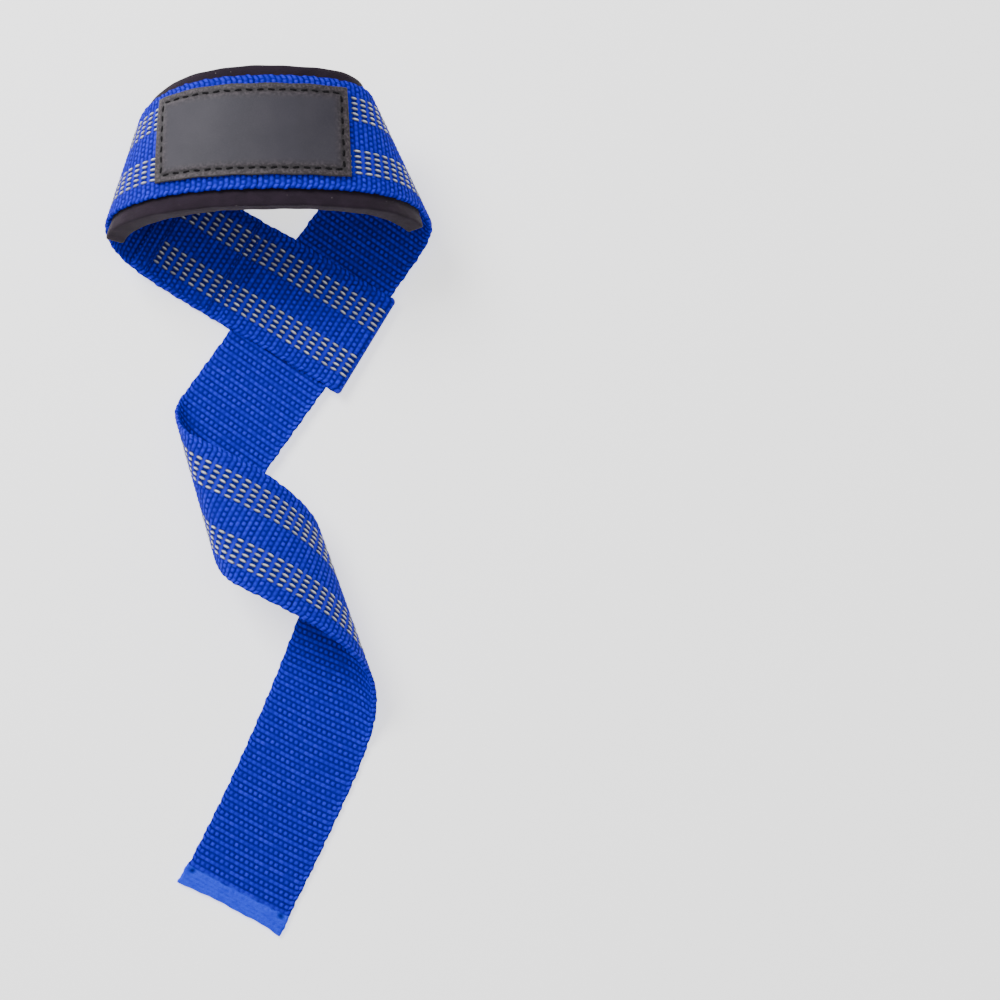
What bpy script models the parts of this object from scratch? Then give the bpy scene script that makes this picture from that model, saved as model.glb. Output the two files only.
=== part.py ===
# Lifting strap lying on a flat surface: one ribbon of webbing, a foam pad under its
# wrist arch and a plain patch on top of the arch.
# The ribbon is worked out as flat cloth first. Every point of it has a distance along
# the ribbon (from the eye's fold) and a distance across it. The ribbon then bends
# about straight creases that cross it, so it is never stretched.
import math
from collections import namedtuple

import bmesh
import bpy
import numpy as np

# Sizes in metres
WEB_WIDTH = 0.038
WEB_THICK = 0.0016
LAYER_GAP = 0.0003

EYE_PLAY = 0.0095
SEAM_LENGTH = 0.034
EYE_SNUG = 0.0011
FLAT_LENGTH = 0.067
ARCH_LENGTH = 0.1965
PASS_LENGTH = 0.083
ROLL_LENGTH = 0.124
LAST_LENGTH = 0.085

PAD_THICK = 0.006
PAD_LENGTH = 0.124
PAD_NEAR = 0.005
PAD_FAR = 0.0035

PATCH_LENGTH = 0.0632
PATCH_INSET_NEAR = 0.0042
PATCH_INSET_FAR = 0.0033
PATCH_THICK = 0.001
PATCH_SHIFT = -0.0025

# Directions in degrees
EYE_HEADING = 150.7
PASS_HEADING = -123.5
LAST_HEADING = -109.5
LAST_BOW = -7.5

HALF = WEB_WIDTH / 2
LIFT = WEB_THICK + LAYER_GAP
EYE_LENGTH = WEB_WIDTH + EYE_PLAY

# How the ribbon bends. share: place along the stretch. turn: how fast it bends there,
# in degrees for the whole stretch. skew: how far the crease leans from square.
Row = namedtuple("Row", "share turn skew")

ARCH = (
    Row(0.0, 0, -41),
    Row(0.1, 690, -17),
    Row(0.2, 493, -10),
    Row(0.3, 300, -25),
    Row(0.4, 260, -18),
    Row(0.5, 118, -4),
    Row(0.6, 155, 9),
    Row(0.7, 403, 19),
    Row(0.8, 542, 36),
    Row(0.9, 662, 22),
    Row(1.0, 0, -5),
)
ROLL = (
    Row(0.0, 0, 35),
    Row(0.07, 940, 37),
    Row(0.15, 290, 39),
    Row(0.22, 240, 41),
    Row(0.29, 815, 43),
    Row(0.36, 195, 45),
    Row(0.51, 215, 46),
    Row(0.66, 195, 46),
    Row(0.73, 380, 47),
    Row(0.80, 340, 47),
    Row(0.87, 370, 50),
    Row(0.93, 660, 53),
    Row(1.0, 0, 56),
)
LAST_SKEW = 21

# Creases that split the two flat stretches, as shares of their length
FLAT_CREASE = 0.55
PASS_CREASE = 0.45
# Share of the first flat stretch on which facets stay square to the ribbon
FLAT_SQUARE = 0.3

# How the folded-back layer climbs from the sewn overlap onto the passing free end.
# share: place along the climb. rise: height gained, in layers.
Climb = namedtuple("Climb", "share rise")

CLIMB = (
    Climb(0.0, 0.0),
    Climb(0.3, 0.2),
    Climb(0.5, 0.5),
    Climb(0.7, 0.8),
    Climb(1.0, 1.0),
)
CLIMB_LENGTH = EYE_PLAY / 2
CLIMB_TIP = 0.42

# Fineness of the model: lengths of one facet, then facets along and across
BEND_STEP = 0.0021
CLOTH_STEP = 0.0026
FOLD_STEPS = 8
FLAT_STEPS = 8
LAST_STEPS = 16
WEB_ACROSS = 4
PAD_ACROSS = 6
PATCH_ACROSS = 5

# How the closing shape is found. The first three knobs scale turns, the others shift
# skews in degrees. Places count more than directions.
TURN_KNOBS = 3
TURN_NUDGE = 1e-4
SKEW_NUDGE = 1e-2
TURN_LIMIT = 0.2
SKEW_LIMIT = 12.0
PLACE_WEIGHT = 10
MOST_ROUNDS = 12
CLOSE_ENOUGH = 1e-7


def table_value(rows, share, column):
    """Value of one column of a bend table, straight lines between its rows."""
    shares = [row.share for row in rows]
    values = [getattr(row, column) for row in rows]
    return float(np.interp(share, shares, values))


class Ribbon:
    """Creases of the ribbon, each a straight line across it in space."""

    def __init__(self):
        self.along = []
        self.middle = []
        self.across = []
        self.normal = []
        self.lean = []
        self.place = np.array((0.0, 0.0, WEB_THICK / 2))
        heading = math.radians(EYE_HEADING)
        self.forward = np.array((math.cos(heading), math.sin(heading), 0.0))
        self.up = np.array((0.0, 0.0, 1.0))
        self.length = 0.0
        self.foot = 0

    def side(self):
        return np.cross(self.up, self.forward)

    def mark(self, skew, bend):
        """Put a crease here, leaning by skew, and bend the ribbon by bend about it."""
        lean = math.tan(math.radians(skew))
        line = self.side() + self.forward * lean
        axis = line / np.linalg.norm(line)
        half = turn_about(self.up, axis, -bend / 2)
        self.along.append(self.length)
        self.middle.append(self.place)
        self.across.append(line)
        self.normal.append(half)
        self.lean.append(lean)
        self.up = turn_about(self.up, axis, -bend)
        self.forward = turn_about(self.forward, axis, -bend)

    def advance(self, distance, bow=0.0):
        self.place = self.place + self.forward * distance
        self.length += distance
        self.forward = turn_about(self.forward, self.up, bow)

    def stretch(self, rows, length, knobs):
        """Bend along a table. Three knobs scale its turns and two shift its skews."""
        steps = round(length / BEND_STEP)
        for i in range(1, steps + 1):
            share = i / steps
            first = max(0.0, 1 - 2 * share)
            last = max(0.0, 2 * share - 1)
            turn = table_value(rows, share, "turn")
            turn *= first * knobs[0] + (1 - first - last) * knobs[1] + last * knobs[2]
            skew = table_value(rows, share, "skew")
            skew += first * knobs[3] + last * knobs[4]
            self.advance(length / steps)
            self.mark(skew, math.radians(turn) / steps)

    def finish(self):
        self.along = np.array(self.along)
        self.middle = np.array(self.middle)
        self.across = np.array(self.across)
        self.normal = np.array(self.normal)
        self.lean = np.array(self.lean)

    def point(self, along, across, lift=0.0):
        """Place in space of a spot on the cloth, lifted off its middle by lift."""
        reach = self.along + across * self.lean
        i = int(np.searchsorted(reach, along))
        i = min(max(i, 1), len(reach) - 1)
        t = (along - reach[i - 1]) / (reach[i] - reach[i - 1])
        a = self.middle[i - 1] + self.across[i - 1] * across + self.normal[i - 1] * lift
        b = self.middle[i] + self.across[i] * across + self.normal[i] * lift
        return a + (b - a) * t


def turn_about(vector, axis, angle):
    """Turn a vector about an axis of length one."""
    c = math.cos(angle)
    s = math.sin(angle)
    return vector * c + np.cross(axis, vector) * s + axis * float(axis @ vector) * (1 - c)


def solve(misses, knobs, free):
    """Adjust the free knobs until every miss is nothing."""
    knobs = np.array(knobs, float)
    for _ in range(MOST_ROUNDS):
        base = np.array(misses(knobs))
        if np.abs(base).max() < CLOSE_ENOUGH:
            break
        slope = np.empty((len(base), len(free)))
        for column, k in enumerate(free):
            nudge = TURN_NUDGE if k < TURN_KNOBS else SKEW_NUDGE
            other = knobs.copy()
            other[k] += nudge
            slope[:, column] = (np.array(misses(other)) - base) / nudge
        change = np.linalg.lstsq(slope, -base, rcond=None)[0]
        limits = [TURN_LIMIT if k < TURN_KNOBS else SKEW_LIMIT for k in free]
        biggest = np.abs(change / limits).max()
        knobs[list(free)] += change / max(1.0, biggest)
    return knobs


def start_of_ribbon():
    """The flat stretch from the eye's fold to the arch's first foot."""
    ribbon = Ribbon()
    ribbon.mark(0.0, 0.0)
    ribbon.advance(FLAT_LENGTH * FLAT_CREASE)
    ribbon.mark(0.0, 0.0)
    ribbon.advance(FLAT_LENGTH * (1 - FLAT_CREASE))
    ribbon.foot = len(ribbon.along)
    ribbon.mark(ARCH[0].skew, 0.0)
    return ribbon


def eye_middle():
    """Where the middle of the free end passes through the eye."""
    heading = math.radians(EYE_HEADING)
    reach = HALF + EYE_SNUG
    return np.array((math.cos(heading) * reach, math.sin(heading) * reach, 0.0))


def off_heading(ribbon, heading):
    """How far the ribbon is off a heading, as a sine."""
    aim = math.radians(heading)
    return ribbon.forward[0] * math.sin(aim) - ribbon.forward[1] * math.cos(aim)


def arch_misses(knobs):
    """The arch ends flat, one layer up, aimed through the eye's middle at its heading."""
    ribbon = start_of_ribbon()
    ribbon.stretch(ARCH, ARCH_LENGTH, knobs)
    off = (ribbon.place - eye_middle()) @ ribbon.side() * PLACE_WEIGHT
    height = (ribbon.place[2] - WEB_THICK / 2 - LIFT) * PLACE_WEIGHT
    return (ribbon.up[0], ribbon.up[1], height, off, off_heading(ribbon, PASS_HEADING))


def with_arch(knobs):
    """The ribbon up to the roll's start, past the arch and through the eye."""
    ribbon = start_of_ribbon()
    ribbon.stretch(ARCH, ARCH_LENGTH, knobs)
    ribbon.advance(PASS_LENGTH * PASS_CREASE)
    ribbon.mark(0.0, 0.0)
    ribbon.advance(PASS_LENGTH * (1 - PASS_CREASE))
    ribbon.mark(ROLL[0].skew, 0.0)
    return ribbon


def roll_misses(knobs, arch_knobs):
    """The roll ends flat on the surface."""
    ribbon = with_arch(arch_knobs)
    ribbon.stretch(ROLL, ROLL_LENGTH, knobs)
    height = (ribbon.place[2] - WEB_THICK / 2) * PLACE_WEIGHT
    return (ribbon.up[0], ribbon.up[1], height, off_heading(ribbon, LAST_HEADING))


def whole_ribbon():
    """All creases, from the eye's fold to the sealed end."""
    arch_knobs = solve(arch_misses, (1, 1, 1, 0, 0), (0, 1, 2, 3, 4))
    roll_knobs = solve(lambda k: roll_misses(k, arch_knobs), (1, 1, 1, 0, 0), (0, 2, 3, 4))
    ribbon = with_arch(arch_knobs)
    ribbon.stretch(ROLL, ROLL_LENGTH, roll_knobs)
    bow = math.radians(LAST_BOW) / LAST_STEPS
    for i in range(1, LAST_STEPS + 1):
        ribbon.advance(LAST_LENGTH / LAST_STEPS, bow)
        share = i / LAST_STEPS
        ribbon.mark(ROLL[-1].skew * (1 - share) + LAST_SKEW * share, 0.0)
    ribbon.finish()
    return ribbon


# One cross-section of a solid: where its middle lies on the ribbon and above it, which
# way its first face looks (along the ribbon and off it), and how far it leans.
Spot = namedtuple("Spot", "along lift out_along out_lift skew")


def webbing_path(ribbon):
    """Cross-sections from the sewn end, over the eye, round its fold, to the free end."""
    path = []
    sewn_end = EYE_LENGTH + SEAM_LENGTH
    steps = round(SEAM_LENGTH / CLOTH_STEP)
    for i in range(steps):
        path.append(Spot(sewn_end - SEAM_LENGTH * i / steps, LIFT, 0, 1, 0))
    for row in CLIMB:
        tip = CLIMB_TIP * math.sin(math.pi * row.share)
        path.append(Spot(EYE_LENGTH - CLIMB_LENGTH * row.share, LIFT * (1 + row.rise),
                         math.sin(tip), math.cos(tip), 0))
    level = EYE_LENGTH - CLIMB_LENGTH
    steps = round(level / CLOTH_STEP)
    for i in range(1, steps):
        path.append(Spot(level * (1 - i / steps), 2 * LIFT, 0, 1, 0))
    for i in range(FOLD_STEPS + 1):
        turn = math.pi * i / FOLD_STEPS
        out = (-math.sin(turn), math.cos(turn))
        path.append(Spot(LIFT * out[0], LIFT + LIFT * out[1], out[0], out[1], 0))
    for i in range(1, FLAT_STEPS):
        share = i / FLAT_STEPS
        lean = ARCH[0].skew * max(0.0, (share - FLAT_SQUARE) / (1 - FLAT_SQUARE))
        path.append(Spot(FLAT_LENGTH * share, 0, 0, -1, lean))
    for i in range(ribbon.foot, len(ribbon.along)):
        skew = math.degrees(math.atan(ribbon.lean[i]))
        path.append(Spot(ribbon.along[i], 0, 0, -1, skew))
    path[-1] = path[-1]._replace(skew=0)
    return path


def cloth_solid(name, ribbon, path, low, high, thick, across, material):
    """A closed solid swept along path, from the across distance low to high."""
    mesh = bmesh.new()
    rings = []
    for spot in path:
        lean = math.tan(math.radians(spot.skew))
        ring = []
        for face in (1, -1):
            places = list(range(across + 1))
            for j in places[::face]:
                w = low + (high - low) * j / across
                along = spot.along + spot.out_along * face * thick / 2 + w * lean
                lift = spot.lift + spot.out_lift * face * thick / 2
                ring.append(mesh.verts.new(ribbon.point(along, w, lift)))
        rings.append(ring)
    count = 2 * (across + 1)
    for a, b in zip(rings, rings[1:]):
        for j in range(count):
            k = (j + 1) % count
            mesh.faces.new((a[j], a[k], b[k], b[j]))
    for ring in (rings[0], rings[-1]):
        for j in range(across):
            mesh.faces.new((ring[j], ring[j + 1], ring[count - 2 - j], ring[count - 1 - j]))
    bmesh.ops.recalc_face_normals(mesh, faces=mesh.faces)
    bmesh.ops.triangulate(mesh, faces=mesh.faces)
    if mesh.calc_volume(signed=True) < 0:
        bmesh.ops.reverse_faces(mesh, faces=mesh.faces)
    data = bpy.data.meshes.new(name)
    mesh.to_mesh(data)
    mesh.free()
    data.materials.append(material)
    thing = bpy.data.objects.new(name, data)
    bpy.context.scene.collection.objects.link(thing)
    return thing


def plain_path(start, length, lift):
    """Square-cut cross-sections along a piece laid on the ribbon."""
    steps = round(length / CLOTH_STEP)
    return [Spot(start + length * i / steps, lift, 0, 1, 0) for i in range(steps + 1)]


def make_material(name, colour, roughness):
    material = bpy.data.materials.new(name)
    material.use_nodes = True
    shader = material.node_tree.nodes["Principled BSDF"]
    shader.inputs["Base Color"].default_value = (*colour, 1.0)
    shader.inputs["Roughness"].default_value = roughness
    shader.inputs["Metallic"].default_value = 0.0
    return material


def stand_on_origin(things):
    """Move everything so that the middle of its underside is at the origin."""
    corners = [vertex.co for thing in things for vertex in thing.data.vertices]
    low = [min(c[i] for c in corners) for i in range(3)]
    high = [max(c[i] for c in corners) for i in range(3)]
    shift = ((low[0] + high[0]) / 2, (low[1] + high[1]) / 2, low[2])
    for thing in things:
        for vertex in thing.data.vertices:
            for i in range(3):
                vertex.co[i] -= shift[i]
        thing.data.update()


def build():
    for old in list(bpy.data.objects):
        bpy.data.objects.remove(old, do_unlink=True)
    ribbon = whole_ribbon()
    blue = make_material("woven_webbing", (0.012, 0.054, 0.672), 0.75)
    foam = make_material("neoprene_foam", (0.070, 0.058, 0.061), 0.85)
    patch = make_material("patch_fabric", (0.098, 0.093, 0.114), 0.6)

    strap = cloth_solid("webbing_strap", ribbon, webbing_path(ribbon),
                        -HALF, HALF, WEB_THICK, WEB_ACROSS, blue)

    arch_middle = FLAT_LENGTH + ARCH_LENGTH / 2
    pad_lift = WEB_THICK / 2 + LAYER_GAP + PAD_THICK / 2
    pad_path = plain_path(arch_middle - PAD_LENGTH / 2, PAD_LENGTH, pad_lift)
    pad = cloth_solid("wrist_pad", ribbon, pad_path, -HALF - PAD_FAR, HALF + PAD_NEAR,
                      PAD_THICK, PAD_ACROSS, foam)

    patch_lift = -(WEB_THICK / 2 + LAYER_GAP + PATCH_THICK / 2)
    patch_start = arch_middle + PATCH_SHIFT - PATCH_LENGTH / 2
    patch_path = plain_path(patch_start, PATCH_LENGTH, patch_lift)
    label = cloth_solid("label_patch", ribbon, patch_path, -HALF + PATCH_INSET_FAR,
                        HALF - PATCH_INSET_NEAR, PATCH_THICK, PATCH_ACROSS, patch)
    stand_on_origin((strap, pad, label))


build()
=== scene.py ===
import math
from collections import namedtuple

import bpy
import numpy as np
from mathutils import Matrix, Vector


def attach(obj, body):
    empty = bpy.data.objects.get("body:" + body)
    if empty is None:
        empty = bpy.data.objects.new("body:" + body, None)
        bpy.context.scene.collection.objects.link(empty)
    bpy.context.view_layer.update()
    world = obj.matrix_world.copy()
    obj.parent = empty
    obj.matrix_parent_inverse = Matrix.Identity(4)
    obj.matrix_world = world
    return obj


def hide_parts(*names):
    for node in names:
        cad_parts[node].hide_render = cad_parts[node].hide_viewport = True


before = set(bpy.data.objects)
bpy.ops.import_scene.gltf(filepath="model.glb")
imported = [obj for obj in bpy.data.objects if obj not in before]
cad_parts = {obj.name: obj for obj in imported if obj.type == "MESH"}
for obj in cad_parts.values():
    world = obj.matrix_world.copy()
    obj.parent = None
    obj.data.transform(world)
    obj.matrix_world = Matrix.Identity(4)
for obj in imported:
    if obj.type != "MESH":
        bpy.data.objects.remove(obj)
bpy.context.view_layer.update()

# Sizes in metres, the same as in the CAD source
WEB_WIDTH = 0.038
WEB_THICK = 0.0016
LAYER_GAP = 0.0003
EYE_PLAY = 0.0095
SEAM_LENGTH = 0.034
EYE_SNUG = 0.0011
FLAT_LENGTH = 0.067
ARCH_LENGTH = 0.1965
PASS_LENGTH = 0.083
ROLL_LENGTH = 0.124
LAST_LENGTH = 0.085
PAD_THICK = 0.006
PAD_LENGTH = 0.124
PAD_NEAR = 0.005
PAD_FAR = 0.0035
PATCH_LENGTH = 0.0632
PATCH_INSET_NEAR = 0.0042
PATCH_INSET_FAR = 0.0033
PATCH_THICK = 0.001
PATCH_SHIFT = -0.0025

# Directions in degrees
EYE_HEADING = 150.7
PASS_HEADING = -123.5
LAST_HEADING = -109.5
LAST_BOW = -7.5

HALF = WEB_WIDTH / 2
LIFT = WEB_THICK + LAYER_GAP
EYE_LENGTH = WEB_WIDTH + EYE_PLAY
SEWN_END = EYE_LENGTH + SEAM_LENGTH
STRAP_LENGTH = FLAT_LENGTH + ARCH_LENGTH + PASS_LENGTH + ROLL_LENGTH + LAST_LENGTH
ARCH_MIDDLE = FLAT_LENGTH + ARCH_LENGTH / 2

# How the ribbon bends. share: place along the stretch. turn: how fast it bends there,
# in degrees for the whole stretch. skew: how far the crease leans from square.
Row = namedtuple("Row", "share turn skew")

ARCH = (
    Row(0.0, 0, -41),
    Row(0.1, 690, -17),
    Row(0.2, 493, -10),
    Row(0.3, 300, -25),
    Row(0.4, 260, -18),
    Row(0.5, 118, -4),
    Row(0.6, 155, 9),
    Row(0.7, 403, 19),
    Row(0.8, 542, 36),
    Row(0.9, 662, 22),
    Row(1.0, 0, -5),
)
ROLL = (
    Row(0.0, 0, 35),
    Row(0.07, 940, 37),
    Row(0.15, 290, 39),
    Row(0.22, 240, 41),
    Row(0.29, 815, 43),
    Row(0.36, 195, 45),
    Row(0.51, 215, 46),
    Row(0.66, 195, 46),
    Row(0.73, 380, 47),
    Row(0.80, 340, 47),
    Row(0.87, 370, 50),
    Row(0.93, 660, 53),
    Row(1.0, 0, 56),
)
LAST_SKEW = 21
FLAT_CREASE = 0.55
PASS_CREASE = 0.45

# How the folded-back layer climbs from the sewn overlap onto the passing free end
Climb = namedtuple("Climb", "share rise")

CLIMB = (
    Climb(0.0, 0.0),
    Climb(0.3, 0.2),
    Climb(0.5, 0.5),
    Climb(0.7, 0.8),
    Climb(1.0, 1.0),
)
CLIMB_LENGTH = EYE_PLAY / 2
CLIMB_TIP = 0.42
CLIMB_ROWS = 13
EYE_ROWS = 9
FOLD_ROWS = 25

BEND_STEP = 0.0021
LAST_STEPS = 16
TURN_KNOBS = 3
TURN_NUDGE = 1e-4
SKEW_NUDGE = 1e-2
TURN_LIMIT = 0.2
SKEW_LIMIT = 12.0
PLACE_WEIGHT = 10
MOST_ROUNDS = 12
CLOSE_ENOUGH = 1e-7
LEAD_IN = 0.02

# The middle of the strap's underside, in the ribbon's own coordinates
SHIFT = np.array((-0.031585, -0.060452, 0.0))

# The weave: ribs run across the webbing. Every second one shows round dots, and the rest
# are nearly solid.
RIB_PITCH = 0.0017828
DOT_PITCH = 0.00186
RIB_DEPTH = 0.00034
DOT_DEPTH = 0.00022
SOLID_SHARE = 0.65
ROWS_PER_RIB = 4
COLUMNS_PER_DOT = 4
CUT_RIBS = (97, 165, 241)

# The selvedges: the ribs slant there like the strands of a rope, and the edge is scalloped
ROPE_WIDTH = 0.0016
ROPE_SLANT = 0.6
ROPE_FADE = 0.0006
EDGE_DEPTH = 0.00013
EDGE_FLAT = 0.25
EDGE_POINTS = 6
RIM_POINTS = EDGE_POINTS // 2

# How far the ribs lean from square near the sealed end
Lean = namedtuple("Lean", "from_end slope")

LEANS = (
    Lean(0.100, 0.0),
    Lean(0.070, 0.07),
    Lean(0.008, 0.012),
)

# The sealed end: melted nearly flat, thinner and wider, with a bowed and ragged edge
SEALED_LENGTH = 0.0088
SEALED_START = 0.0006
SEALED_FADE = 0.0026
MELT_FLAT = 0.92
MELT_EDGE = 0.8
MELT_WIDE = 0.022
MELT_THIN = 0.35
END_BOW = 0.0021
CORNER_PROUD = 0.0011
BOW_LENGTH = 0.006
RAGGED_SHARE = 0.35

# A dent in each corner of the sealed end
DENT_FROM_END = 0.0070
DENT_ACROSS = 0.0163
DENT_LONG = 0.0012
DENT_WIDE = 0.0014
DENT_DEPTH = 0.00045
DENT_SHARE = 0.8

# The weave is pressed at the sewn end and on the eye's fold
SEWN_LENGTH = 0.0022
SEWN_FADE = 0.0008
SEWN_FLAT = 0.25
FOLD_HALF = 0.0019
FOLD_FADE = 0.0009
FOLD_FLAT = 0.5
FOLD_END = -math.pi * LIFT
FOLD_MIDDLE = FOLD_END / 2

# The stripes: grey floats that lie along the webbing, over every second rib
FLOAT_LENGTH = 0.0028
FLOAT_WIDTH = 0.00112
FLOAT_RISE = 0.00042
FLOAT_PROUD = 0.00006
FLOAT_TIP = 0.45
FLOAT_TURN = 0.03
FLOAT_ALONG = (-1.0, -0.86, -0.5, 0.0, 0.5, 0.86, 1.0)
FLOAT_OVER = (-1.0, -0.62, 0.0, 0.62, 1.0)
FIRST_FLOAT = 0.0035
FLOAT_START = FOLD_END - FIRST_FLOAT
FLOATS_ACROSS = 5
STRIPE_PLACES = (0.0090, -0.0095)
STRIPE_HALF = 0.0049
STRIPE_FADE = 0.0005
STRIPE_FLAT = 0.8
BED_LEAST = 0.35
BED_GAIN = 1.4

# How far the floats stay from the sewn end, the sealed end and the fold, and how far they
# reach under the patch
FLOATS_FROM_SEWN = 0.004
FLOATS_FROM_SEALED = 0.0018
FLOATS_FROM_FOLD = 0.0006
FLOATS_UNDER_PATCH = 0.0015

# How much the floats differ from each other
FLOAT_SEED = 7
STRAY_ALONG = 0.00007
STRAY_LENGTH = 0.03
STRAY_TURN = 0.05
STRAY_RISE = 0.05
STRAY_SHADE = 0.22

# Small waves: height in metres, radians for each metre, and how their phase shifts
Wave = namedtuple("Wave", "height rate phase")

SELVEDGE_WAVES = (Wave(0.00012, 911, 1.3), Wave(0.00008, 2371, 0.0))
RAGGED_WAVES = (Wave(0.0003, 410, 0.0), Wave(0.00022, 1130, 1.0))
FOAM_WAVES = (Wave(0.00009, 230, 1.1),)
FOAM_CUT_WAVES = (Wave(0.00007, 610, 2.0),)
PATCH_TOP_WAVES = (Wave(0.00005, 190, 70),)
PATCH_RIM_WAVES = (Wave(0.00012, 520, 310),)

# The patch: a lower border with a groove along its stitches
STITCH_INSET = 0.0023
STITCH_PITCH = 0.0035
STITCH_LEAN = 9.0
STITCH_SUNK = 0.00034
BORDER_DROP = 0.00016
BORDER_RISE = 0.0016
GROOVE_DEPTH = 0.00030
GROOVE_HALF = 0.00045
PATCH_RIM = 0.0006
BORDER_FADE = 0.0040
PATCH_GRID = (150, 74)
PATCH_ROUND = 0.00025
PATCH_LOW = WEB_THICK / 2 + LAYER_GAP
PATCH_MIDDLE = ARCH_MIDDLE + PATCH_SHIFT
PATCH_START = PATCH_MIDDLE - PATCH_LENGTH / 2
PATCH_AXIS = (PATCH_INSET_FAR - PATCH_INSET_NEAR) / 2
PATCH_HALF = HALF - (PATCH_INSET_FAR + PATCH_INSET_NEAR) / 2

# Black and blue threads: each tapers to its tips and is sunk in the cloth
BLACK_THREAD = (0.0024, 0.00095, 0.00048)
BLUE_THREAD = (0.0023, 0.0006, 0.00030)
THREAD_ALONG = (-1.0, -0.8, -0.3, 0.3, 0.8, 1.0)
THREAD_OVER = (-90.0, -45.0, 0.0, 45.0, 90.0)
THREAD_TIP = 0.4
THREAD_SUNK = 0.35

# The foam swells beside the webbing, and its sides slant a little
SWELL = 0.00042
SWELL_START = 0.0003
SWELL_WIDTH = 0.0016
SWELL_FROM_END = 0.006
SIDE_WIDTH = 0.002
SIDE_SLANT = 0.0005
PAD_GRID = (110, 56)
PAD_ROUND = 0.0007
PAD_TOP = -(WEB_THICK / 2 + LAYER_GAP)

# The hidden seam: two rows of stitches across it at either end, and one along each side
SEAM_FROM_EYE = 0.0016
SEAM_FROM_END = 0.0030
SEAM_ROW_GAP = 0.0024
SEAM_SIDE_START = 0.004
SEAM_SIDE = 0.0172
SEAM_PITCH = 0.0026
SEAM_ACROSS = 14
SEAM_ALONG = 11
SEAM_LEAN = 4.0
SEAM_PROUD = 0.00002

# Colours of the webbing
# The gap colour is painted shade in the weave's gaps, and the peak colour a painted highlight on
# its ribs
WEB_GAP_SHADE = (0.0025, 0.0015, 0.140)
WEB_RIB = (0.0120, 0.0060, 0.72)
WEB_PEAK_HIGHLIGHT = (0.030, 0.034, 0.99)
WEB_DIM = (0.0045, 0.0045, 0.28)
WEB_BRIGHT = (0.034, 0.042, 0.99)
WEB_FIBRE = (0.008, 0.008, 0.48)
WEB_GRAIN = (0.036, 0.042, 0.97)
WEB_SHADE = (0.007, 0.007, 0.40)
WEB_STRIPE = (0.006, 0.005, 0.33)
# Painted shade on the stripes' bed between the floats
WEB_FLOAT_GAP_SHADE = (0.006, 0.006, 0.090)
WEB_DENT = (0.002, 0.004, 0.12)
WEB_SHEEN = (0.03, 0.12, 1.0)
FOLD_DARK = (0.005, 0.007, 0.26)
FOLD_LIGHT = (0.012, 0.018, 0.48)
SEAL_DARK = (0.012, 0.028, 0.88)
SEAL_LIGHT = (0.032, 0.080, 1.0)
SEAL_BLOTCH = (0.009, 0.018, 0.66)

# Colours of the floats, the foam, the patch and the threads
# The floats' sides take painted shade and their tops painted light
FLOAT_SIDE_SHADE = (0.026, 0.028, 0.070)
FLOAT_TOP_LIT = (0.215, 0.225, 0.33)
# A painted highlight along each float, a little towards its upper side
FLOAT_HIGHLIGHT = (0.92, 0.95, 1.0)
FLOAT_LINE = (0.155, 0.16, 0.22)
FOAM_DARK = (0.0150, 0.0088, 0.0165)
FOAM_LIGHT = (0.0205, 0.0120, 0.0225)
FOAM_PORE = (0.011, 0.008, 0.012)
FOAM_SPECK = (0.30, 0.27, 0.27)
FOAM_SHEEN = (0.8, 0.7, 0.7)
PATCH_DARK = (0.0285, 0.0262, 0.0370)
PATCH_LIGHT = (0.0350, 0.0315, 0.0435)
PATCH_GRAIN = (0.058, 0.054, 0.067)
# Painted shade in the groove along the stitches
PATCH_GROOVE_SHADE = (0.012, 0.011, 0.013)
PATCH_EDGE = (0.022, 0.020, 0.022)
BORDER_DARK = (0.021, 0.0160, 0.0195)
BORDER_LIGHT = (0.070, 0.056, 0.065)
BLACK_DARK = (0.003, 0.003, 0.004)
BLACK_LIGHT = (0.012, 0.011, 0.013)
BLUE_DARK = (0.003, 0.003, 0.20)
BLUE_LIGHT = (0.010, 0.012, 0.45)

# The white table, the light and the camera
TABLE_COLOUR = (0.90, 0.90, 0.905)
TABLE_GLOW = 1.2
TABLE_REACH = 4
TABLE_TOP = -0.0001
WORLD_LIGHT = 0.32
LENS = 68.47
CAMERA_PLACE = (0.0159, -0.0512, 0.650)
CAMERA_TURNS = ((-1.7, "Z"), (5.68, "Y"), (-5.23, "X"))

# Square lights, each aimed at the origin
Light = namedtuple("Light", "name place size power")

LIGHTS = (
    Light("key_light", (-0.55, 0.55, 0.75), 0.5, 14.5),
    Light("top_light", (0.1, -0.1, 1.3), 1.2, 6.0),
)


def fade(distance, width):
    """0 up to no distance and 1 from a width on, straight between."""
    return np.clip(distance / width, 0, 1)


def smooth(share):
    return share * share * (3 - 2 * share)


def waves(rows, value, side=1.0):
    """Sum of small waves, whose phases are taken side times."""
    return sum(row.height * np.sin(value * row.rate + row.phase * side) for row in rows)


def table_value(rows, share, column):
    """Value of one column of a table, straight lines between its rows."""
    shares = [row.share for row in rows]
    values = [getattr(row, column) for row in rows]
    return float(np.interp(share, shares, values))


def turn_about(vector, axis, angle):
    """Turn a vector about an axis of length one."""
    c = math.cos(angle)
    s = math.sin(angle)
    return vector * c + np.cross(axis, vector) * s + axis * float(axis @ vector) * (1 - c)


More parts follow.
